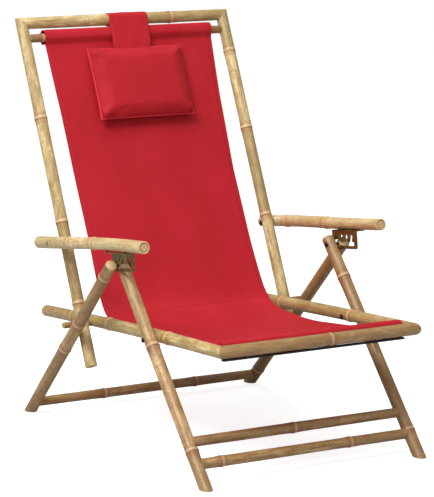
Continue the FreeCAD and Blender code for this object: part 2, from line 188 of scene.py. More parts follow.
class Finish:
    """What a piece is made of; each kind paints its own node tree."""

    name: str
    slot_name: str

    def build(self) -> bpy.types.Material:
        """Build the finish.

        Returns:
            The node material.
        """
        made = bpy.data.materials.new(self.name)
        self.paint(Nodes(made))
        return made


@dataclass(frozen=True)
class BambooFinish(Finish):
    """Varnished bamboo culm, peeled and heat-straightened: long fibres, pale and scorched node rings."""

    name: str
    light: str
    middle: str
    dark: str
    green: str
    stain: str
    slot_name: str
    green_share: float
    stain_share: float
    fleck: str = "6B5130"
    ring: str = "E2CFA2"
    groove: str = "6E4A26"
    pith: str = "C9A878"
    bundle: str = "7E5A34"

    def paint(self, tree: Nodes) -> None:
        """Draw bamboo; its patterns follow the pole's own grain attribute, in metres.

        Args:
            tree: the material's nodes.
        """
        grain = tree.add("Attribute", attribute_name="grain").outputs["Vector"]
        gap, tone, cut = (tree.add("Attribute", attribute_name=name).outputs["Fac"]
                          for name in ("node_distance", "tone", "cut_end"))
        # Fibre bundles are about 0.6 mm wide; drawn 1.4 mm wide so that they show.
        fibre = tree.mottle(grain, (700, 700, 9), 3.0, 0.6)
        cloud = tree.mottle(grain, (70, 70, 16), 4.0, 0.62)
        streak = tree.mottle(grain, (150, 150, 4), 2.0, shift=(3, 5, 7))
        # Weathered patches are 3 to 8 cm long, dark flecks 2 to 5 mm along the fibres.
        patch = tree.mottle(grain, (40, 40, 17), 5.0, 0.65, (1, 8, 2))
        speck = tree.mottle(grain, (360, 360, 120), 3.0, 0.6)
        shade = tree.total((fibre, 0.34), (cloud, 0.42), (streak, 0.24))
        ramp = tree.add("ValToRGB", {"Fac": shade})
        stops = ramp.color_ramp.elements
        stops[0].position, stops[0].color = 0.39, linear(self.dark)
        stops[1].position, stops[1].color = 0.61, linear(self.light)
        stops.new(0.50).color = linear(self.middle)
        colour = ramp
        near_node = tree.below(tree.add("Math", {0: gap}, operation="ABSOLUTE"), 0.008, 0.012)
        tints = ((self.green, self.green_share, tree.above(streak, 0.44, 0.10), tone),
                 (self.dark, 0.42, tree.above(tone, 0.60, 0.25)),
                 (self.dark, 0.42, tree.above(patch, 0.55, 0.09)),
                 (self.fleck, 0.42, tree.above(speck, 0.60, 0.06)),
                 (self.stain, self.stain_share, near_node, tree.above(cloud, 0.43, 0.12)),
                 (self.stain, 0.35, tree.above(streak, 0.60, 0.07)),
                 (self.ring, 0.34, tree.band(gap, 0.0010, 0.0050, 0.0030), tree.above(patch, 0.42, 0.2)),
                 (self.groove, 0.60, tree.band(gap, -0.0026, -0.0016, 0.0012)))
        for tint, *shares in tints:
            colour = tree.tinted(colour, tint, *shares)
        # Cut ends: pale straw with the dark dots of the vascular bundles, 1.5 mm apart.
        dots = tree.add("TexVoronoi", {"Vector": grain, "Scale": 650.0}).outputs["Distance"]
        end_grain = tree.tinted(self.pith, self.bundle, tree.below(dots, 0.22, 0.12))
        relief = tree.total((fibre, 1.0), (cloud, 0.8))
        rough = tree.add("MapRange", {0: cloud, 1: 0.3, 2: 0.7, 3: 0.40, 4: 0.58})
        tree.surface(relief, 0.50, 0.0006,
                     {"Base Color": tree.tinted(colour, end_grain, cut), "Roughness": rough, "IOR": 1.5,
                      "Coat Weight": 0.12, "Coat Roughness": 0.35})


@dataclass(frozen=True)
class ClothFinish(Finish):
    """Plain-woven polyester, dyed red: faint thread relief, soft sheen, sewn hems."""

    name: str
    colour: str
    light: str
    shadow: str
    slot_name: str
    stitched: bool = True

    def paint(self, tree: Nodes) -> None:
        """Draw cloth; its weave attribute holds metres across, metres along and metres from the edge.

        Args:
            tree: the material's nodes.
        """
        weave = tree.add("Attribute", attribute_name="weave").outputs["Vector"]
        across, along, edge = tree.add("SeparateXYZ", {0: weave}).outputs[:3]
        cloud = tree.mottle(weave, (7, 5, 0), 4.0)
        fleck = tree.mottle(weave, (1, 1, 0), 1.0, scale=900.0)
        # Threads lie 0.5 mm apart; drawn 1.3 mm apart so that they show.
        warp, weft = (tree.add("Math", {0: tree.product(way, 2 * math.pi / 0.0013)}, operation="SINE")
                      for way in (across, along))
        relief = tree.total((tree.product(warp, weft), 0.35), (fleck, 0.5))
        colour = tree.tinted(self.colour, self.light, tree.add("MapRange", {0: cloud, 1: 0.3, 2: 0.7}))
        colour = tree.tinted(colour, self.shadow, 0.18, tree.above(fleck, 0.58, 0.06))
        if self.stitched:
            # Lock stitch 11 mm from the hem's edge: 3 mm stitches with 1 mm between them.
            line = tree.band(edge, 0.0106, 0.0114, 0.0004)
            stitch = tree.add("Math", {0: tree.product(along, 250.0)}, operation="FRACT")
            dash = tree.band(stitch, 0.12, 0.78, 0.06)
            colour = tree.tinted(colour, self.shadow, 0.55, line, dash)
            relief = tree.total((relief, 1.0), (line, -1.2))
        tree.surface(relief, 0.22, 0.0006,
                     {"Base Color": colour, "Roughness": 0.72, "Specular IOR Level": 0.22,
                      "Sheen Weight": 0.05, "Sheen Roughness": 0.45, "Sheen Tint": "E03040"})


@dataclass(frozen=True)
class MetalFinish(Finish):
    """Thin steel with a coat of colour: brassy passivation on the brackets, black on the bolts."""

    name: str
    colour: str
    worn: str
    slot_name: str
    metallic: float
    roughness: float

    def paint(self, tree: Nodes) -> None:
        """Draw cloudy tarnish and fine rolling grain on Object coordinates.

        Args:
            tree: the material's nodes.
        """
        spot = tree.add("TexCoord").outputs["Object"]
        cloud = tree.mottle(spot, (1, 1, 1), 5.0, scale=60.0)
        grain = tree.mottle(spot, (300, 60, 1500), 2.0)
        colour = tree.tinted(self.colour, self.worn, tree.above(cloud, 0.53, 0.12))
        rough = tree.add("MapRange", {0: cloud, 1: 0.3, 2: 0.7, 3: self.roughness - 0.08,
                                      4: self.roughness + 0.10})
        tree.surface(grain, 0.12, 0.0003,
                     {"Base Color": colour, "Roughness": rough, "Metallic": self.metallic})


FRAME_BAMBOO = BambooFinish("varnished_bamboo_frame", "E6D5A6", "C8AF77", "8C6F42", "A09A58", "A06C3A",
                            "bamboo_frame", 0.50, 0.50)
# The legs' bamboo is darker than the frame's, partly from its own tone and partly as painted shade from under
# the seat. The crossbars and the seat's front rail share it.
LEG_BAMBOO_TONE_AND_SHADE = BambooFinish("varnished_bamboo_legs_tone_and_shade", "D4B484", "B6915F", "7C5A34", "A39055", "8C5730",
                          "bamboo_legs", 0.35, 0.60)
ARM_BAMBOO = BambooFinish("varnished_bamboo_arms", "F6EAC6", "E3CE9E", "B29866", "B7B06C", "B67E4E",
                          "bamboo_arms", 0.45, 0.65)
ROD_BAMBOO = BambooFinish("varnished_bamboo_rods", "C8A26C", "9E7845", "6C4B2A", "A38E50", "88552C",
                          "bamboo_rods", 0.25, 0.60)
PLUG_WOOD = BambooFinish("bamboo_plug", "CDB182", "B4925F", "91703F", "B39A5C", "9A6B3C", "plugs", 0.1, 0.2)
SLING_CLOTH = ClothFinish("red_woven_sling", "A4131D", "B11A27", "6A0810", "cloth")
PILLOW_CLOTH = ClothFinish("red_woven_pillow", "A0121C", "AE1925", "6A0810", "pillow", False)
# The welt's lighter red is a painted highlight along the piping, partly wear.
WELT_HIGHLIGHT_AND_WEAR_CLOTH = ClothFinish("red_woven_welt_highlight_and_wear", "C02230", "CE3442", "7A0C16", "pillow", False)
BRACKET_STEEL = MetalFinish("brassy_bracket_steel", "68582F", "8A7646", "brackets", 0.85, 0.42)
CAP_STEEL = MetalFinish("dull_cap_steel", "7C6A48", "94805A", "bolts", 0.5, 0.5)
BOLT_STEEL = MetalFinish("black_bolt_steel", "18171A", "2E2C2C", "bolts", 0.6, 0.42)
STRIP_STEEL = MetalFinish("black_strip_steel", "101012", "1E1E20", "edge_strip", 0.3, 0.5)


@cache
def material(finish: Finish) -> bpy.types.Material:
    """Return a finish's material, built once."""
    return finish.build()


def dress(piece: Piece, finish: Finish) -> None:
    """Give a piece its finish.

    Args:
        piece: a new piece, or one carried over from the CAD.
        finish: what it is made of.
    """
    for slot in piece.material_slots:
        slot.material = material(finish)
    if not piece.material_slots:
        piece.data.materials.append(material(finish))


def settle(made: Piece, finish: Finish, body: str | None, *nodes: str) -> Piece:
    """Dress a new piece, put it on its body and hide the CAD nodes that it stands for.

    Args:
        made: the new piece.
        finish: its finish.
        body: the body it rides on, or None where it stays on none.
        nodes: the CAD nodes that it stands for.

    Returns:
        The same piece.
    """
    dress(made, finish)
    if body:
        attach(made, body)
    if nodes:
        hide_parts(*nodes)
    return made


# Geometry


def ray(degrees: float) -> Array:
    """Unit (y, z) vector at this angle from +Y towards +Z."""
    return np.array([math.cos(math.radians(degrees)), math.sin(math.radians(degrees))])


def around(count: int) -> Array:
    """Angles of this many even steps round a full turn."""
    return np.linspace(0, 2 * math.pi, count, endpoint=False)


def grid(*parts: Array | float) -> Array:
    """Stack coordinates that broadcast to one shape along a new last axis."""
    return np.stack(np.broadcast_arrays(*parts), axis=-1)


@dataclass(frozen=True)
class SideFrame:
    """Frame of an assembly: origin in the side view in mm, local Z at an angle from the floor."""

    y: float
    z: float
    angle: float

    def place(self, local: Array) -> Array:
        """Turn local millimetres into metres of the row frame.

        Local Z runs along the angle, local Y a quarter turn behind it, X stays.

        Args:
            local: array (..., 3) in mm.

        Returns:
            Array of the same shape in metres.
        """
        along, behind = ray(self.angle), ray(self.angle - 90)
        x, y, z = np.moveaxis(local, -1, 0)
        return grid(x, self.y + y * behind[0] + z * along[0], self.z + y * behind[1] + z * along[1]) * MM

    def spot(self, z: float) -> Vec3:
        """Return the place of a point on the local Z axis, in metres."""
        return tuple(self.place(np.array([0.0, 0.0, z])))


SEAT = SideFrame(141.005, 250.0, 175.7)
BACK = SideFrame(141.005, 250.0, 65.0)
LEG = SideFrame(-189.081, 278.138, 47.9)
REAR = SideFrame(-67.986, 420.211, 135.7)
ARM = SideFrame(230.176, 426.557, 172.5)

# Radii, half widths across the chair and places along the side frames, in mm.
POLE_R, HEM_R, CROSS_R, ROD_R, PLUG_R = 14.0, 10.0, 11.5, 7.0, 8.95
BACK_HALF, SEAT_HALF, LEG_HALF, ARM_HALF = 270.0, 239.0, 302.0, 301.6
TOP_BAR = 731.9
HEM_ROD_Z = 693.9
FRONT_RAIL = 595.3
FRONT_ROD = (8.0, 566.3)
BOLT_OFFSET, TOP_BOLT, SHANK_R = 5.4, 186.6, 2.95
SIDES = (("left", -1), ("right", 1))
ACROSS = (1, 0, 0)
UP = (0, 0, 1)
STRAIGHT = (0, 0, 0)


def quads(index: Array) -> Array:
    """Faces between the rows and columns of a grid of vertex numbers."""
    corners = [index[:-1, :-1], index[:-1, 1:], index[1:, 1:], index[1:, :-1]]
    return np.stack(corners, axis=-1).reshape(-1, 4)


def link(name: str, points: Array, *faces: Array) -> tuple[Piece, Array]:
    """Make a smooth mesh object at the origin and link it.

    Args:
        name: the piece's name.
        points: (n, 3) in metres; those that no face uses are left out.
        faces: vertex numbers, (m, 3) or (m, 4) in each array.

    Returns:
        The linked object, and which points it kept.
    """
    used = np.zeros(len(points), bool)
    for group in faces:
        used[group.ravel()] = True
    number = np.cumsum(used) - 1
    mesh = bpy.data.meshes.new(name)
    mesh.from_pydata(points[used].tolist(), [], [face for group in faces for face in number[group].tolist()])
    mesh.polygons.foreach_set("use_smooth", np.ones(len(mesh.polygons), bool))
    mesh.update()
    made = bpy.data.objects.new(name, mesh)
    bpy.context.collection.objects.link(made)
    return made, used


def store(mesh: bpy.types.Mesh, key: str, values: Array) -> None:
    """Store an attribute.

    Args:
        mesh: the piece's mesh.
        key: the attribute's name.
        values: one or three numbers for each vertex.
    """
    kind, slot = ("FLOAT_VECTOR", "vector") if values.shape[1] == 3 else ("FLOAT", "value")
    layer = mesh.attributes.new(key, kind, "POINT")
    layer.data.foreach_set(slot, values.astype(np.float32).ravel())


def make_object(name: str, points: Array, closed: bool, fields: dict[str, Array],
                sharp: float = 38.0) -> Piece:
    """Turn a grid of points into a mesh object at the origin.

    Args:
        name: the piece's name.
        points: (rows, columns, 3) in metres.
        closed: the last column joins the first, and the first and last rows are single points.
        fields: attribute name to a (rows, columns) or (rows, columns, 3) array.
        sharp: edges steeper than this many degrees stay sharp.

    Returns:
        The linked object.
    """
    count = points.shape[0] * points.shape[1]
    index = np.arange(count).reshape(points.shape[:2])
    if closed:
        index[[0, -1]] = index[[0, -1], :1]
        index = np.concatenate([index, index[:, :1]], axis=1)
        faces = (quads(index[1:-1]), np.stack([index[0, :-1], index[1, 1:], index[1, :-1]], axis=-1),
                 np.stack([index[-2, :-1], index[-2, 1:], index[-1, :-1]], axis=-1))
    else:
        faces = (quads(index),)
    made, used = link(name, points.reshape(-1, 3), *faces)
    made.data.set_sharp_from_angle(angle=math.radians(sharp))
    for key, values in fields.items():
        store(made.data, key, values.reshape(count, -1)[used])
    return made


class End(Enum):
    """How a pole ends: (share of the radius, depth in mm) from the middle outward."""

    FLAT = ((0.0, 0.0), (0.5, 0.0), (0.95, 0.0), (1.0, 0.7))
    HOLLOW = ((0.0, 21.0), (0.40, 21.0), (0.44, 14.0), (0.46, 1.0), (0.50, 0.0), (0.94, 0.0), (1.0, 0.9))
    DOME = ((0.0, 0.0), (0.3, 0.25), (0.6, 1.1), (0.8, 2.4), (0.93, 4.2), (1.0, 7.0))
    SOCKET = ((0.0, 25.5), (0.70, 25.5), (0.705, 1.2), (0.74, 0.1), (0.92, 0.0), (1.0, 1.1))


# Bamboo's irregularities: shares of the radius for the section, mm for rings and tapers.
OVAL, THREE_SIDED = 0.009, 0.005
SLIMMER, TAPER = 0.15, 0.25
RING_WIDTH, SWELL, SWELL_WIDTH = 3.4, 0.70, 13.0
GROOVE, GROOVE_AT, GROOVE_WIDTH = 0.50, 3.0, 1.2
LOPSIDED = 0.25
NO_NODE_NEAR = 60.0
WALL_STEP, NODE_STEP, NODE_REACH = 14, 1.1, 11.0


@dataclass
class Pole:
    """A bamboo pole: radius = R + ring and flare at each node + slight ovality, carried along its axis."""

    name: str
    body: str
    frame: SideFrame
    start: Vec3
    axis: Vec3
    length: float
    radius: float
    nodes: Spots
    finish: BambooFinish
    ends: tuple[End, End] = (End.FLAT, End.FLAT)
    slopes: tuple[Vec3, Vec3] = (STRAIGHT, STRAIGHT)
    bow: Vec2 = (0.0, 0.0)
    seed: int = 1
    ring_rise: float = 0.8
    columns: int = 44

    def stations(self) -> Array:
        """Place the rings of vertices: every 14 mm, and about every millimetre close to a node.

        Returns:
            Positions along the pole in mm.
        """
        spots = [np.linspace(2.0, self.length - 2.0, max(6, int(self.length / WALL_STEP)))]
        spots += [np.arange(node - NODE_REACH, node + NODE_REACH + 0.5, NODE_STEP) for node in self.nodes]
        inner = [max(depth for share, depth in end.value if share == 1.0) for end in self.ends]
        walls = np.unique(np.round(np.concatenate(spots), 2))
        walls = walls[(walls > inner[0] + 1.0) & (walls < self.length - inner[1] - 1.0)]
        return walls[np.insert(np.diff(walls) > 0.5, 0, True)]

    def build(self) -> None:
        """Build the pole, dress it and put it on its body in place of its CAD node."""
        rng = np.random.default_rng(self.seed)
        walls = self.stations()
        first, last = self.ends[0].value, self.ends[1].value[::-1]
        share = np.array([s for s, _ in first] + [1.0] * len(walls) + [s for s, _ in last])
        along = np.array([d for _, d in first] + list(walls) + [self.length - d for _, d in last])
        turn = around(self.columns)[None, :]
        s = along[:, None]
        part = s / self.length
        phase = rng.uniform(0, 6.28, 4)
        radius = self.radius * (1 + OVAL * np.sin(2 * turn + phase[0])
                                + THREE_SIDED * np.sin(3 * turn + 2.5 * math.pi * part + phase[1]))
        radius = radius - SLIMMER + TAPER * np.sin(2 * math.pi * part + phase[2])
        nearest = np.full(along.shape, NO_NODE_NEAR)
        for node in self.nodes:
            gap = along - node
            ring = (self.ring_rise * np.exp(-(gap / RING_WIDTH) ** 2)
                    + SWELL * np.exp(-(gap / SWELL_WIDTH) ** 2)
                    - GROOVE * np.exp(-((gap + GROOVE_AT) / GROOVE_WIDTH) ** 2))
            radius = radius + ring[:, None] * (1 + LOPSIDED * np.sin(turn + phase[3]))
            nearest = np.where(np.abs(gap) < np.abs(nearest), gap, nearest)
        radius = radius * share[:, None]
        axis, side = np.array(self.axis, float), np.array([0.0, 1.0, 0.0])
        spoke = np.cos(turn)[..., None] * side + np.sin(turn)[..., None] * np.cross(axis, side)
        # A mitre leans the rows near an end; the lean fades over 3.2 radii.
        reach = 3.2 * self.radius
        lean = (np.clip(1 - s / reach, 0, 1) * (spoke @ np.array(self.slopes[0], float))
                + np.clip(1 - (self.length - s) / reach, 0, 1) * (spoke @ np.array(self.slopes[1], float)))
        lean = lean * radius
        local = np.array(self.start, float) + (s + lean)[..., None] * axis + radius[..., None] * spoke
        held = np.clip(part, 0, 1)
        local[..., 1] += self.bow[0] * np.sin(math.pi * held) + self.bow[1] * np.sin(2 * math.pi * held)
        tones = rng.uniform(0.0, 1.0, len(self.nodes) + 1)
        tone = tones[np.searchsorted(np.sort(np.array(self.nodes)), along)]
        offset = rng.uniform(0, 3, 3)
        fields = {"node_distance": nearest * MM, "tone": tone, "cut_end": share < 0.97}
        fields = {key: np.broadcast_to(values[:, None], radius.shape) for key, values in fields.items()}
        fields["grain"] = grid(radius * np.cos(turn) * MM + offset[0], radius * np.sin(turn) * MM + offset[1],
                               s * MM + offset[2])
        made = make_object(self.name + "_culm", self.frame.place(local), True, fields)
        settle(made, self.finish, self.body, self.name)


@dataclass
class Turned:
    """A turned metal or wooden fitting: a profile of (distance along, radius) spun about local X."""

    name: str
    body: str
    frame: SideFrame
    centre: Vec2
    side: int
    profile: Profile
    finish: Finish
    hexagon: Vec2 | None = None
    columns: int = 36

    def build(self, *nodes: str) -> None:
        """Spin the profile; rows between the hexagon limits take a six-sided outline.

        Args:
            nodes: the CAD nodes this piece stands for.
        """
        along, radius = np.array(self.profile).T[..., None]
        turn = around(self.columns)[None, :]
        spun = radius * np.ones_like(turn)
        if self.hexagon:
            low, high = self.hexagon
            six = 0.88 / np.cos((turn + math.pi / 6) % (math.pi / 3) - math.pi / 6)
            spun = np.where((along >= low) & (along <= high) & (radius > SHANK_R + 0.25), radius * six, spun)
        local = grid(self.side * along, self.centre[0] + spun * np.cos(turn),
                     self.centre[1] + spun * np.sin(turn) * self.side)
        made = make_object(self.name, self.frame.place(local), True, {}, 30.0)
        settle(made, self.finish, self.body, *nodes)


# Wooden assemblies


@dataclass
class MitredFrame:
    """Two rails mitred to a bar, and the slim rod that carries the cloth's hem beside the bar."""

    body: str
    frame: SideFrame
    half: float
    tail: float
    rail_nodes: tuple[Spots, ...]
    bar: str
    bar_z: float
    bar_nodes: Spots
    bar_finish: BambooFinish
    rod: str
    rod_start: Vec3
    rod_length: float
    rod_nodes: Spots
    seed: int
    bow: Vec2 = (0.0, 0.0)

    def build(self) -> None:
        """Build the rails, the bar and the rod."""
        for number, (word, side) in enumerate(SIDES):
            Pole(f"{self.body}_rail_{word}", self.body, self.frame, (side * self.half, 0, -self.tail), UP,
                 self.bar_z + self.tail, POLE_R, self.rail_nodes[number], FRAME_BAMBOO,
                 (End.HOLLOW, End.FLAT), (STRAIGHT, (side, 0, 0)), self.bow, self.seed + number).build()
        Pole(self.bar, self.body, self.frame, (-self.half, 0, self.bar_z), ACROSS, 2 * self.half, POLE_R,
             self.bar_nodes, self.bar_finish, slopes=((0, 0, -1), (0, 0, 1)), seed=self.seed + 2).build()
        Pole(self.rod, self.body, self.frame, self.rod_start, ACROSS, self.rod_length, HEM_R,
             self.rod_nodes, ROD_BAMBOO, seed=self.seed + 3).build()


BACK_FRAME = MitredFrame(
    "back", BACK, BACK_HALF, 103.0, ((150, 345, 598), (70, 318, 540, 739)),
    "back_top_bar", TOP_BAR, (232, 392), FRAME_BAMBOO,
    "sling_top_rod", (-258, 0, HEM_ROD_Z), 516, (31, 300), seed=11)
SEAT_FRAME = MitredFrame(
    "seat", SEAT, SEAT_HALF, 258.0, ((150, 338, 620), (64, 300, 603)),
    "seat_front_rail", FRONT_RAIL, (262,), LEG_BAMBOO_TONE_AND_SHADE,
    "sling_front_rod", (-222, *FRONT_ROD), 449, (150, 330), seed=21, bow=(4.0, 0.0))
# The slim rod on which seat and back turn, its hollow ends behind the rear legs.
PIVOT_ROD = Pole("pivot_rod", "pivot_rod", BACK, (-320.0, 0, 0), ACROSS, 640.0, ROD_R, (70, 330, 585),
                 ROD_BAMBOO, (End.HOLLOW, End.HOLLOW), seed=51, ring_rise=0.4)


@dataclass
class EdgeStrip:
    """The dark strip under the front rail: a rounded rectangle carried along X."""

    half_y: float = 2.2
    half_z: float = 6.5
    y: float = -17.0
    power: int = 6

    def build(self) -> None:
        """Build the strip.

        Outline: |y / 2.2| ** 6 + |z / 6.5| ** 6 = 1, shrunk over the last 2 mm of each end.
        """
        along = np.array([-238, -238, -237.6, -236.5, -120, 0, 120, 212.5, 213.6, 214, 214.0])[:, None]
        scale = np.array([0, 0.7, 0.9, 1, 1, 1, 1, 1, 0.9, 0.7, 0.0])[:, None]
        turn = around(32)
        cos, sin = np.cos(turn), np.sin(turn)
        norm = (np.abs(cos) ** self.power + np.abs(sin) ** self.power) ** (-1 / self.power)
        local = grid(along, self.y + self.half_y * scale * (cos * norm),
                     FRONT_RAIL + self.half_z * scale * (sin * norm))
        made = make_object("front_rail_strip_bar", SEAT.place(local), True, {})
        settle(made, STRIP_STEEL, "seat", "front_rail_strip")


@dataclass
class CrossedLegs:
    """Front legs with two crossbars and rear legs with one, their feet cut level with the floor."""

    bar_inset: float = 7.0

    def leg(self, name: str, body: str, frame: SideFrame, x: float, top: float,
            nodes: Spots, seed: int) -> None:
        """Build a leg with a rounded top, whose lower end is cut by the plane z = 0.

        Args:
            name: the CAD node.
            body: the body that it rides on.
            frame: the leg's frame.
            x: its place across the chair.
            top: its upper end in local Z.
            nodes: bamboo nodes in local Z.
            seed: seed of its irregularities.
        """
        run, rise = ray(frame.angle)
        bottom = -frame.z / rise
        Pole(name, body, frame, (x, 0, bottom), UP, top - bottom, POLE_R,
             tuple(node - bottom for node in nodes), LEG_BAMBOO_TONE_AND_SHADE, (End.FLAT, End.DOME),
             ((0, run / rise, 0), STRAIGHT), seed=seed).build()

    def build(self) -> None:
        """Build the four legs and the three crossbars."""
        legs = (("front_leg", "front_legs", LEG, BACK_HALF, TOP_BOLT + 24, (-284, -22), (-310, 98)),
                ("rear_leg", "rear_legs", REAR, LEG_HALF, 9.0, (-331, -228, -43), (-541, -299)))
        for number, (word, side) in enumerate(SIDES):
            for pair, (name, body, frame, half, top, *nodes) in enumerate(legs):
                self.leg(f"{name}_{word}", body, frame, side * half, top, nodes[number],
                         31 + number + 2 * pair)
        bars = (("front_crossbar_upper", "front_legs", LEG, BACK_HALF, -260.0, (258,)),
                ("front_crossbar_lower", "front_legs", LEG, BACK_HALF, -314.0, (57, 380)),
                ("rear_crossbar", "rear_legs", REAR, LEG_HALF, -563.0, (180, 431)))
        for number, (name, body, frame, half, z, nodes) in enumerate(bars):
            Pole(name, body, frame, (self.bar_inset - half, 0, z), ACROSS, 2 * (half - self.bar_inset),
                 CROSS_R, tuple(n - self.bar_inset for n in nodes), LEG_BAMBOO_TONE_AND_SHADE, seed=36 + number).build()


@dataclass
class Armrests:
    """Two pole armrests, their plugs, brackets and screws."""

    front: float = 460.0
    rear: float = 71.0
    plug_depth: float = 25.0
    plug_length: float = 24.4
    nodes: tuple[Spots, ...] = ((170, 291), (122, 302))
    bows: tuple[Vec2, ...] = ((3.5, -1.0), (1.5, 1.5))

    def build(self) -> None:
        """Build the armrests and plugs, and dress the brackets and screws."""
        for number, (word, side) in enumerate(SIDES):
            body, x = f"armrest_{word}", side * ARM_HALF
            Pole(body, body, ARM, (x, 0, -self.rear), UP, self.front + self.rear, POLE_R,
                 self.nodes[number], ARM_BAMBOO, (End.HOLLOW, End.SOCKET), bow=self.bows[number],
                 seed=41 + number).build()
            Pole(f"armrest_plug_{word}", body, ARM, (x, 0, self.front - self.plug_depth), UP,
                 self.plug_length, PLUG_R, (), PLUG_WOOD, seed=43 + number).build()
            dress(CAD_NODES[f"armrest_bracket_{word}"], BRACKET_STEEL)
            for count in (1, 2):
                dress(CAD_NODES[f"bracket_screw_{word}_{count}"], BOLT_STEEL)


# Profiles of fittings: (distance outward from a face, radius) in mm.
HEAD = ((-3.2, 0.0), (-3.1, 1.8), (-2.6, 3.6), (-1.7, 5.2), (-0.7, 6.2), (-0.2, 6.4), (0.0, 6.2),
        (0.0, SHANK_R))
NUT_BASE = ((0.0, SHANK_R), (0.01, 5.6), (0.4, 5.9))
NUT_TOP = ((-0.5, 5.9), (0.0, 5.3), (0.0, SHANK_R), (0.7, 2.85), (1.0, 2.35), (1.0, 0.0))
SHANK_END = ((0.0, SHANK_R), (0.0, 0.0))
LOW_CAP = ((0.02, 0.0), (0.02, 4.6), (0.5, 4.8), (0.9, 4.5), (1.1, 3.6), (1.2, 2.0), (1.2, 0.0))
NAIL = ((13.0, 0.0), (13.0, 3.0), (14.6, 2.9), (15.1, 1.7), (15.2, 0.0))
HEM_END = ((0.0, 0.0), (0.0, 10.7), (1.5, 10.3), (2.7, 7.5), (3.2, 0.0))


def shifted(profile: Profile, by: float) -> Profile:
    """Move a profile outward along its axis."""
    return tuple((by + along, radius) for along, radius in profile)


@dataclass
class Fasteners:
    """Through bolts with a domed head towards the middle, and a nut or a low cap outside."""

    nut_height: float = 2.4
    clear: float = POLE_R + 0.4
    cap_sunk: float = 0.4

    def build(self) -> None:
        """Build the seat bolts with their nuts, the capped top and armrest bolts, and one nail head."""
        rows = (("seat_bolt", "front_legs", LEG, (BOLT_OFFSET, 0.0), SEAT_HALF - self.clear,
                 BACK_HALF + POLE_R),
                ("top_bolt", "front_legs", LEG, (-BOLT_OFFSET, TOP_BOLT), BACK_HALF - POLE_R,
                 LEG_HALF + self.clear),
                ("arm_bolt", "arm_bolts", ARM, (0.0, 0.0), BACK_HALF - self.clear, ARM_HALF + self.clear))
        for name, body, frame, centre, head_x, end_x in rows:
            nutted = name == "seat_bolt"
            top_x = end_x + self.nut_height
            outside = shifted(SHANK_END, end_x)
            if nutted:
                outside = shifted(NUT_BASE, end_x) + shifted(NUT_TOP, top_x)
            for word, side in SIDES:
                Turned(f"{name}_{word}_steel", body, frame, centre, side, shifted(HEAD, head_x) + outside,
                       BOLT_STEEL, (end_x, top_x) if nutted else None).build(f"{name}_{word}")
                if not nutted:
                    Turned(f"{name}_{word}_cap", body, frame, centre, side,
                           shifted(LOW_CAP, end_x - self.cap_sunk), CAP_STEEL).build()
        Turned("front_leg_left_nail", "front_legs", LEG, (0.0, -31.0), -1, shifted(NAIL, BACK_HALF),
               BRACKET_STEEL).build()


# Cloth

CLOTH_SHARP = 60.0
HEM_LOOP_R = HEM_R + 1.1
END_GUARD = 0.08
# Soft creases: height, spacing across and spacing along, in mm. Pulls fade in from the edge.
CREASES = ((0.55, 61, 170), (0.40, 37, -110), (0.25, 19, 260))
PULL_HEIGHT, PULL_REACH, PULL_SPACING = 0.8, 26, 33
HEM_WIDTH, HEM_STEP, HEM_RISE = 12.0, 1.6, 0.45
STITCH_AT, STITCH_WIDTH, STITCH_DIP = 11.0, 0.9, 0.5


def travel(points: Array) -> Array:
    """Distance gone along a polyline at each of its points."""
    return np.concatenate([[0], np.cumsum(np.linalg.norm(np.diff(points, axis=0), axis=1))])


def resample(points: Array, step: float) -> Array:
    """Place points evenly along a polyline.

    Args:
        points: (n, 2) in mm.
        step: wanted spacing in mm.

    Returns:
        (m, 2) array from the first point to the last.
    """
    lengths = travel(points)
    wanted = np.linspace(0, lengths[-1], max(8, int(lengths[-1] / step)) + 1)
    return np.stack([np.interp(wanted, lengths, points[:, i]) for i in range(2)], axis=1)


def arc(centre: Vec2, radius: float, first: float, last: float, steps: int) -> Array:
    """Points on a circle in the (y, z) plane between two angles in degrees."""
    angle = np.radians(np.linspace(first, last, steps))
    return np.stack([centre[0] + radius * np.cos(angle), centre[1] + radius * np.sin(angle)], axis=1)


def carried(path: Array, x: Array, lift: Array) -> Array:
    """Carry a path of the side view across the chair.

    Args:
        path: (rows, 2) points in mm.
        x: (rows, columns) places across the chair.
        lift: (rows, columns) heights over the path, along its normal.

    Returns:
        (rows, columns, 3) local points in mm.
    """
    tangent = np.gradient(path, axis=0)
    tangent /= np.linalg.norm(tangent, axis=1, keepdims=True)
    return grid(x, path[:, :1] + tangent[:, 1:] * lift, path[:, 1:] - tangent[:, :1] * lift)


def cloth_object(name: str, points: Array, weave: Array, thick: float = 0.0) -> Piece:
    """Make an open cloth surface.

    Args:
        name: the piece's name.
        points: (rows, columns, 3) in metres.
        weave: metres across, along and from the edge, in the same shape.
        thick: thickness in mm, grown to both sides; none where 0.

    Returns:
        The linked object.
    """
    made = make_object(name, points, False, {"weave": weave}, CLOTH_SHARP)
    if thick:
        wall = made.modifiers.new("thickness", "SOLIDIFY")
        wall.thickness = thick * MM
        wall.offset = 0.0
    return made


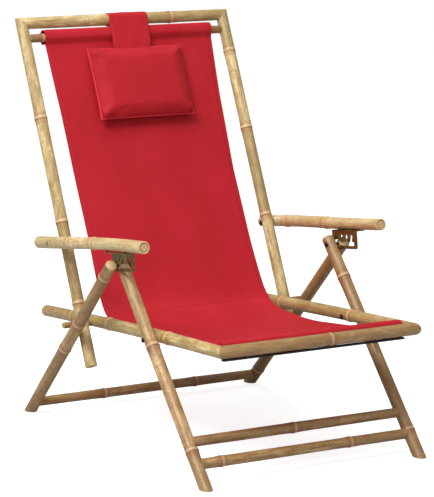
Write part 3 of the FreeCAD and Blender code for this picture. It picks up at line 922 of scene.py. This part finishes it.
@dataclass
class Panel:
    """One panel of the sling: a path in the side view, carried across between its two drawn-in edges."""

    name: str
    node: str
    frame: SideFrame
    path: Array
    reach: float
    left: Spots
    right: Spots
    belly: float
    seed: int
    flip: bool = False
    flare: float = 0.0
    flare_length: float = 46
    thick: float = 1.4
    step: float = 4.0

    def build(self) -> Piece:
        """Build the panel.

        A point is path(v) + normal(v) * (belly + creases), at x = left(v) + u * (right(v) - left(v)).

        Returns:
            The new piece, as a sheet with its thickness.
        """
        rng = np.random.default_rng(self.seed)
        path = resample(self.path, self.step)
        # One more row close to each end keeps the shading of the end rows flat.
        path = np.concatenate([path[:1], (1 - END_GUARD) * path[:1] + END_GUARD * path[1:2], path[1:-1],
                               END_GUARD * path[-2:-1] + (1 - END_GUARD) * path[-1:], path[-1:]])
        gone = travel(path)
        v = gone[:, None]
        level = np.clip(path[:, 1] / self.reach, 0, 1)
        knots = np.linspace(0, 1, len(self.left))
        left = np.interp(level, knots, self.left) - self.flare * np.clip(1 - gone / self.flare_length, 0, 1)
        right = np.interp(level, knots, self.right)
        edge_in = np.array([0, 0.3, 1.2, 2.4, 6, 9.5, 11, 12.5, 16, 22])
        inner = np.linspace(0.06, 0.94, 60)
        wide = (right - left)[:, None]
        low = edge_in[None, :] / wide
        u = np.concatenate([low, np.broadcast_to(inner, (len(path), len(inner))), 1 - low[:, ::-1]], axis=1)
        x = left[:, None] + u * wide
        edge = np.minimum(u, 1 - u) * wide
        phase = rng.uniform(0, 6.28, 6)
        creases = sum(height * np.sin(x / wide_by + v / long_by + phase[number])
                      for number, (height, wide_by, long_by) in enumerate(CREASES))
        pull = PULL_HEIGHT * np.exp(-edge / PULL_REACH) * np.sin(v / PULL_SPACING + phase[3])
        hem = (HEM_RISE * np.clip((HEM_WIDTH - edge) / HEM_STEP, 0, 1)
               - STITCH_DIP * np.exp(-((edge - STITCH_AT) / STITCH_WIDTH) ** 2))
        loose = np.sin(math.pi * level)[:, None] * (self.belly * (1 - (2 * u - 1) ** 2) + creases + pull)
        placed = self.frame.place(carried(path, x, loose + hem * (1 if self.flip else -1)))
        weave = grid(x, v, edge) * MM
        if self.flip:
            placed, weave = placed[:, ::-1], weave[:, ::-1]
        made = settle(cloth_object(self.name, placed, weave, self.thick), SLING_CLOTH, None, self.node)
        return made


@dataclass
class Sling:
    """The red sling: back panel, seat panel and the sleeve round the pivot rod, creased at the rod."""

    crease_z: float = 10.2
    back_sag: float = 15.0
    seat_sag: float = 19.0
    back_crease: Vec2 = (14.3, 23.8)
    seat_crease: Vec2 = (14.6, 25.6)
    rod_gap: float = 1.4
    tuck: float = 17.0
    wrap: float = 52.0
    loop_rise: float = 8.0
    sleeve_x: Vec2 = (-214.0, 217.0)
    sleeve_r: float = 8.5

    def back_path(self) -> Array:
        """Draw the side view of the back panel: round the hem rod, then sagging to the crease.

        Returns:
            Points (n, 2) in mm.
        """
        rod = (0, HEM_ROD_Z)
        hem = np.concatenate([arc(rod, HEM_LOOP_R, -self.wrap, 0, 8),
                              arc((0, HEM_ROD_Z + self.loop_rise), HEM_R + 1.0, 0, 180, 26),
                              arc(rod, HEM_LOOP_R, 180, 180 + self.wrap, 8)])
        z = np.linspace(HEM_ROD_Z - self.tuck, self.crease_z, 140)
        share = z / HEM_ROD_Z
        y = self.back_sag * 4 * share * (1 - share) - self.rod_gap
        y = y - self.back_crease[0] * np.exp(-(z - self.crease_z) / self.back_crease[1])
        return np.concatenate([[(0.9, HEM_ROD_Z - self.tuck)], hem, grid(y, z)])

    def seat_path(self) -> Array:
        """Draw the side view of the seat panel: round the front rod, then sagging to the crease.

        Returns:
            Points (n, 2) in mm.
        """
        y0, z0 = FRONT_ROD
        z = np.linspace(z0 - self.tuck, self.crease_z, 110)
        share = z / z0
        y = y0 * share - self.seat_sag * 4 * share * (1 - share) + self.rod_gap
        y = y + self.seat_crease[0] * np.exp(-(z - self.crease_z) / self.seat_crease[1])
        hem = arc(FRONT_ROD, HEM_LOOP_R, 180 + self.wrap, -self.wrap, 40)
        return np.concatenate([[(y0 - 0.9, z0 - self.tuck)], hem, grid(y, z)])

    def build(self) -> None:
        """Build both panels with their transforms baked, the two ends of the seat's hem, and the sleeve."""
        back = Panel("sling_back_cloth", "sling_back", BACK, self.back_path(), HEM_ROD_Z,
                     (-214, -207, -208, -211, -221), (222, 219, 218, 222, 228), 3.0, 61, flare=9.0).build()
        seat = Panel("sling_seat_cloth", "sling_seat", SEAT, self.seat_path(), FRONT_ROD[1],
                     (-214, -203, -198, -206, -226), (222, 205, 199, 205, 224), 5.0, 62, flip=True).build()
        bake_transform(back)
        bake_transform(seat)
        for word, side, reach in (("left", -1, 225.0), ("right", 1, 222.5)):
            Turned(f"sling_seat_hem_{word}", "seat", SEAT, FRONT_ROD, side, shifted(HEM_END, reach),
                   SLING_CLOTH).build()
        self.sleeve()

    def sleeve(self) -> None:
        """Build the sleeve: a soft tube, radius = 8.5 + creases, open at both ends."""
        start, end = self.sleeve_x
        x = np.linspace(start, end, 90)[:, None]
        turn = np.radians(np.linspace(0, 360, 41))
        radius = self.sleeve_r + 0.18 * np.sin(x / 13 + 2 * turn) + 0.12 * np.sin(x / 29 - 3 * turn)
        local = grid(x, radius * np.cos(turn), radius * np.sin(turn))
        weave = grid(x, self.sleeve_r * turn, np.minimum(x - start, end - x)) * MM
        made = cloth_object("sling_sleeve_cloth", BACK.place(local), weave, 1.1)
        settle(made, SLING_CLOTH, "pivot_rod", "sling_sleeve")


# Head pillow

INFLATION = {"quality": 6, "mass": 0.3, "tension_stiffness": 12, "compression_stiffness": 12,
             "bending_stiffness": 0.35, "use_pressure": True, "uniform_pressure_force": 2.5}
LAST_FRAME = 20


@dataclass
class Headrest:
    """Stuffed head pillow on a broad loop of the same cloth over the top bar."""

    centre_x: float = 4.0
    half_width: float = 123.0
    half_height: float = 87.0
    top: float = 654.5
    front: float = 19.0
    rear: float = 11.0
    seam_y: float = -12.0
    cap: float = 3.5
    count: int = 46
    edge: float = 21.0
    roundness: float = 3.4
    crown: float = 0.14

    def shell(self) -> tuple[Array, Array]:
        """Both faces of the pillow, each on a grid of (u, v) in [-1, 1] that meets the other at the seam.

        Outline: sides pull in by 2% between the corners. Thickness: quarter ovals 21 mm wide
        rise from the seam to a nearly flat front, of which the crown is the last 14%.

        Returns:
            Points (rows, columns, 3) of the front face, and the same of the rear face.
        """
        line = np.sin(np.linspace(-math.pi / 2, math.pi / 2, self.count))
        u, v = np.meshgrid(line, line)
        wide, high = self.half_width, self.half_height
        x = self.centre_x + wide * u * (1 - 0.020 * (1 - v ** 2) * np.abs(u) ** 2)
        z = self.top - high + high * v * (1 - 0.022 * (1 - u ** 2) * np.abs(v) ** 2)
        rise_u = np.clip(1 - wide * (1 - np.abs(u)) / self.edge, 0, 1)
        rise_v = np.clip(1 - high * (1 - np.abs(v)) / self.edge, 0, 1)
        bulge = np.sqrt(1 - np.minimum(1, rise_u ** self.roundness + rise_v ** self.roundness))
        bulge = bulge * (1 - self.crown + self.crown * (1 - u ** 2) * (1 - v ** 2))
        return grid(x, self.seam_y - self.front * bulge, z), grid(x, self.seam_y + self.rear * bulge, z)

    def pillow(self) -> None:
        """Build the pillow and inflate it with a cloth simulation, capped and applied."""
        size = self.count
        at_end = np.arange(size) % (size - 1) == 0
        border = at_end[:, None] | at_end[None, :]
        fronts = np.arange(size * size).reshape(size, size)
        rears = np.where(border, fronts, fronts + size * size)
        points = BACK.place(np.concatenate(self.shell()).reshape(-1, 3))
        made, used = link("headrest_pillow_cover", points, quads(fronts), quads(rears)[:, [0, 3, 2, 1]])
        self.inflate(made, np.tile(border.ravel(), 2)[used])
        self.finish_cover(made)

    def inflate(self, made: Piece, pinned: Array) -> None:
        """Swell the cover by cloth simulation with inner pressure; no point moves further than the cap.

        Args:
            made: the cover.
            pinned: True for each vertex on the seam, which stays.
        """
        group = made.vertex_groups.new(name="seam")
        group.add(np.flatnonzero(pinned).tolist(), 1.0, "REPLACE")
        cloth = made.modifiers.new("cloth", "CLOTH")
        for key, value in INFLATION.items():
            setattr(cloth.settings, key, value)
        cloth.settings.effector_weights.gravity = 0.0
        cloth.settings.vertex_group_mass = "seam"
        scene = bpy.context.scene
        for step in range(1, LAST_FRAME + 1):
            scene.frame_set(step)
        posed = made.evaluated_get(bpy.context.evaluated_depsgraph_get())
        moved, rest = self.spots(posed.to_mesh()), self.spots(made.data)
        posed.to_mesh_clear()
        made.modifiers.remove(cloth)
        made.vertex_groups.remove(group)
        shift = moved - rest
        length = np.linalg.norm(shift, axis=1, keepdims=True)
        shift *= np.minimum(1.0, self.cap * MM / np.maximum(length, 1e-9))
        made.data.vertices.foreach_set("co", (rest + shift).ravel())
        made.data.update()
        scene.frame_set(1)

    def spots(self, mesh: bpy.types.Mesh) -> Array:
        """Read the vertices of a mesh.

        Args:
            mesh: the cover's mesh.

        Returns:
            Their places, (n, 3) in metres.
        """
        flat = np.empty(len(mesh.vertices) * 3)
        mesh.vertices.foreach_get("co", flat)
        return flat.reshape(-1, 3)

    def finish_cover(self, made: Piece) -> None:
        """Give the cover its weave attribute, subdivision, finish and body.

        Args:
            made: the cover.
        """
        spots = self.spots(made.data)
        store(made.data, "weave", grid(spots[:, 0], spots @ np.array([0, *ray(BACK.angle)]), 1.0))
        smooth = made.modifiers.new("smooth", "SUBSURF")
        smooth.levels = smooth.render_levels = 1
        settle(made, PILLOW_CLOTH, "back", "headrest_pillow")

    def seam_welt(self) -> None:
        """Build the sewn welt: a 3 mm lip carried round the pillow's outline, in a lighter red that paints
        its highlight and some wear.
        """
        front, _ = self.shell()
        rim = np.concatenate([front[0, :-1], front[:-1, -1], front[-1, :0:-1], front[:0:-1, 0]])
        outward = rim - np.array([self.centre_x, self.seam_y, self.top - self.half_height])
        outward[:, 1] = 0
        outward /= np.linalg.norm(outward, axis=1, keepdims=True)
        turn = around(10)[:, None, None]
        points = (rim[None] + outward[None] * (0.6 + 3.0 * np.cos(turn))
                  + np.array([0.0, 1.0, 0.0]) * (2.3 * np.sin(turn)))
        closed = np.pad(points, ((0, 1), (0, 1), (0, 0)), mode="wrap")
        weave = grid(closed[..., 0] * MM, np.linspace(0, 0.8, closed.shape[1]), 1.0)
        settle(cloth_object("headrest_pillow_welt", BACK.place(closed), weave), WELT_HIGHLIGHT_AND_WEAR_CLOTH, "back")

    def strap(self) -> None:
        """Build the strap: from the pillow's seam up the front of the top bar, round it and down behind.

        Its half width grows from 49.5 mm at the pillow to 51.5 mm over the bar, and it waves slightly.
        """
        path = np.concatenate([[(self.seam_y - 2.0, self.top - 7), (self.seam_y - 3.4, self.top + 14)],
                               arc((0, TOP_BAR), POLE_R + 1.5, 188, -115, 54),
                               [(-13.5, TOP_BAR - 21.5), (-14.5, TOP_BAR - 40),
                                (self.seam_y + 0.5, self.top + 12), (self.seam_y + 1.0, self.top - 6)]])
        path = resample(path, 2.5)
        gone = travel(path)
        v = gone[:, None]
        height = np.clip((path[:, 1:] - self.top) / (TOP_BAR - self.top), 0, 1)
        half = 49.5 + 2.0 * height
        u = np.linspace(-1, 1, 41)
        x = 0.5 + 4.5 * height + half * u
        lift = 0.35 * np.sin(3.1 * u + v / 21) + 0.25 * np.sin(7 * u - v / 15)
        weave = grid(x, v, (1 - np.abs(u)) * half) * MM
        made = cloth_object("headrest_strap_loop", BACK.place(carried(path, x, lift)), weave, 1.6)
        settle(made, SLING_CLOTH, "back", "headrest_strap")

    def build(self) -> None:
        """Build the pillow, its welt and its strap."""
        self.pillow()
        self.seam_welt()
        self.strap()


# Studio


@dataclass
class Studio:
    """White floor and world, soft lamps, and the camera at the photograph's angle."""

    camera_at: Vec3 = (-2.6325, -4.6849, 1.3935)
    camera_turn: Vec3 = (79.76, 0.0, -29.37)
    lens: float = 198.4
    aim: Vec3 = (0.0, 0.0, 0.45)
    floor_half: float = 30.0
    floor_z: float = -0.0005
    lamps: tuple = (("key", (-2.9, -1.4, 4.5), 2.2, 270.0), ("fill", (-0.6, -4.6, 2.4), 3.0, 44.0),
                    ("top", (0.0, 0.4, 4.8), 2.6, 75.0))

    def build(self) -> None:
        """Build floor, world, lamps and camera."""
        scene = bpy.context.scene
        scene.view_settings.view_transform = "Standard"
        self.floor()
        self.world(scene)
        for lamp in self.lamps:
            self.lamp(*lamp)
        data = bpy.data.cameras.new("camera")
        data.sensor_fit = "HORIZONTAL"
        data.sensor_width = 36.0
        data.lens = self.lens
        camera = bpy.data.objects.new("camera", data)
        camera.location = self.camera_at
        camera.rotation_euler = [math.radians(a) for a in self.camera_turn]
        scene.collection.objects.link(camera)
        scene.camera = camera

    def lamp(self, name: str, at: Vec3, width: float, watts: float) -> None:
        """Add a square soft lamp that looks at the middle of the chair.

        Args:
            name: the lamp's name.
            at: its place in metres.
            width: its side in metres.
            watts: its power.
        """
        data = bpy.data.lights.new(name, "AREA")
        data.size = width
        data.energy = watts
        lamp = bpy.data.objects.new(name, data)
        x, y, z = np.array(self.aim) - np.array(at)
        lamp.location = at
        lamp.rotation_euler = (math.atan2(math.hypot(x, y), -z), 0, math.atan2(y, x) - math.pi / 2)
        bpy.context.scene.collection.objects.link(lamp)

    def floor(self) -> None:
        """Add a wide white floor that keeps the chair's soft shadow."""
        half, z = self.floor_half, self.floor_z
        corners = np.array([(-half, -half, z), (half, -half, z), (half, half, z), (-half, half, z)])
        made, _ = link("floor", corners, np.array([[0, 1, 2, 3]]))
        paint = bpy.data.materials.new("studio_floor")
        tree = Nodes(paint)
        seen = tree.add("LightPath").outputs["Is Camera Ray"]
        matt = tree.add("BsdfDiffuse", {"Color": (0.55, 0.55, 0.55, 1)})
        glow = tree.add("Emission", {"Color": (1, 1, 1, 1), "Strength": tree.product(seen, 0.80)})
        both = tree.add("AddShader", {0: matt, 1: glow})
        tree.add("OutputMaterial", {"Surface": both})
        made.data.materials.append(paint)

    def world(self, scene: bpy.types.Scene) -> None:
        """Light from a plain white world; the camera sees it at a strength just over 1.

        Args:
            scene: the scene that it belongs to.
        """
        scene.world = bpy.data.worlds.new("studio")
        tree = Nodes(scene.world)
        seen = tree.add("LightPath").outputs["Is Camera Ray"]
        strength = tree.add("Math", {0: seen, 1: 0.68, 2: 0.34}, operation="MULTIPLY_ADD")
        back = tree.add("Background", {"Color": (1, 1, 1, 1), "Strength": strength})
        tree.add("OutputWorld", {"Surface": back})


def main() -> None:
    """Build the recliner, piece by piece, in the CAD's frame."""
    for assembly in (BACK_FRAME, SEAT_FRAME, EdgeStrip(), CrossedLegs(), Armrests(), PIVOT_ROD, Fasteners(),
                     Sling(), Headrest(), Studio()):
        assembly.build()
        log.info("%s done", type(assembly).__name__)


CAD_NODES: dict[str, Piece] = {}

if __name__ == "__main__":
    logging.basicConfig(level=logging.INFO, format="%(name)s: %(message)s")
    CAD_NODES.update(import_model()["nodes"])
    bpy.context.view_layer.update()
    main()
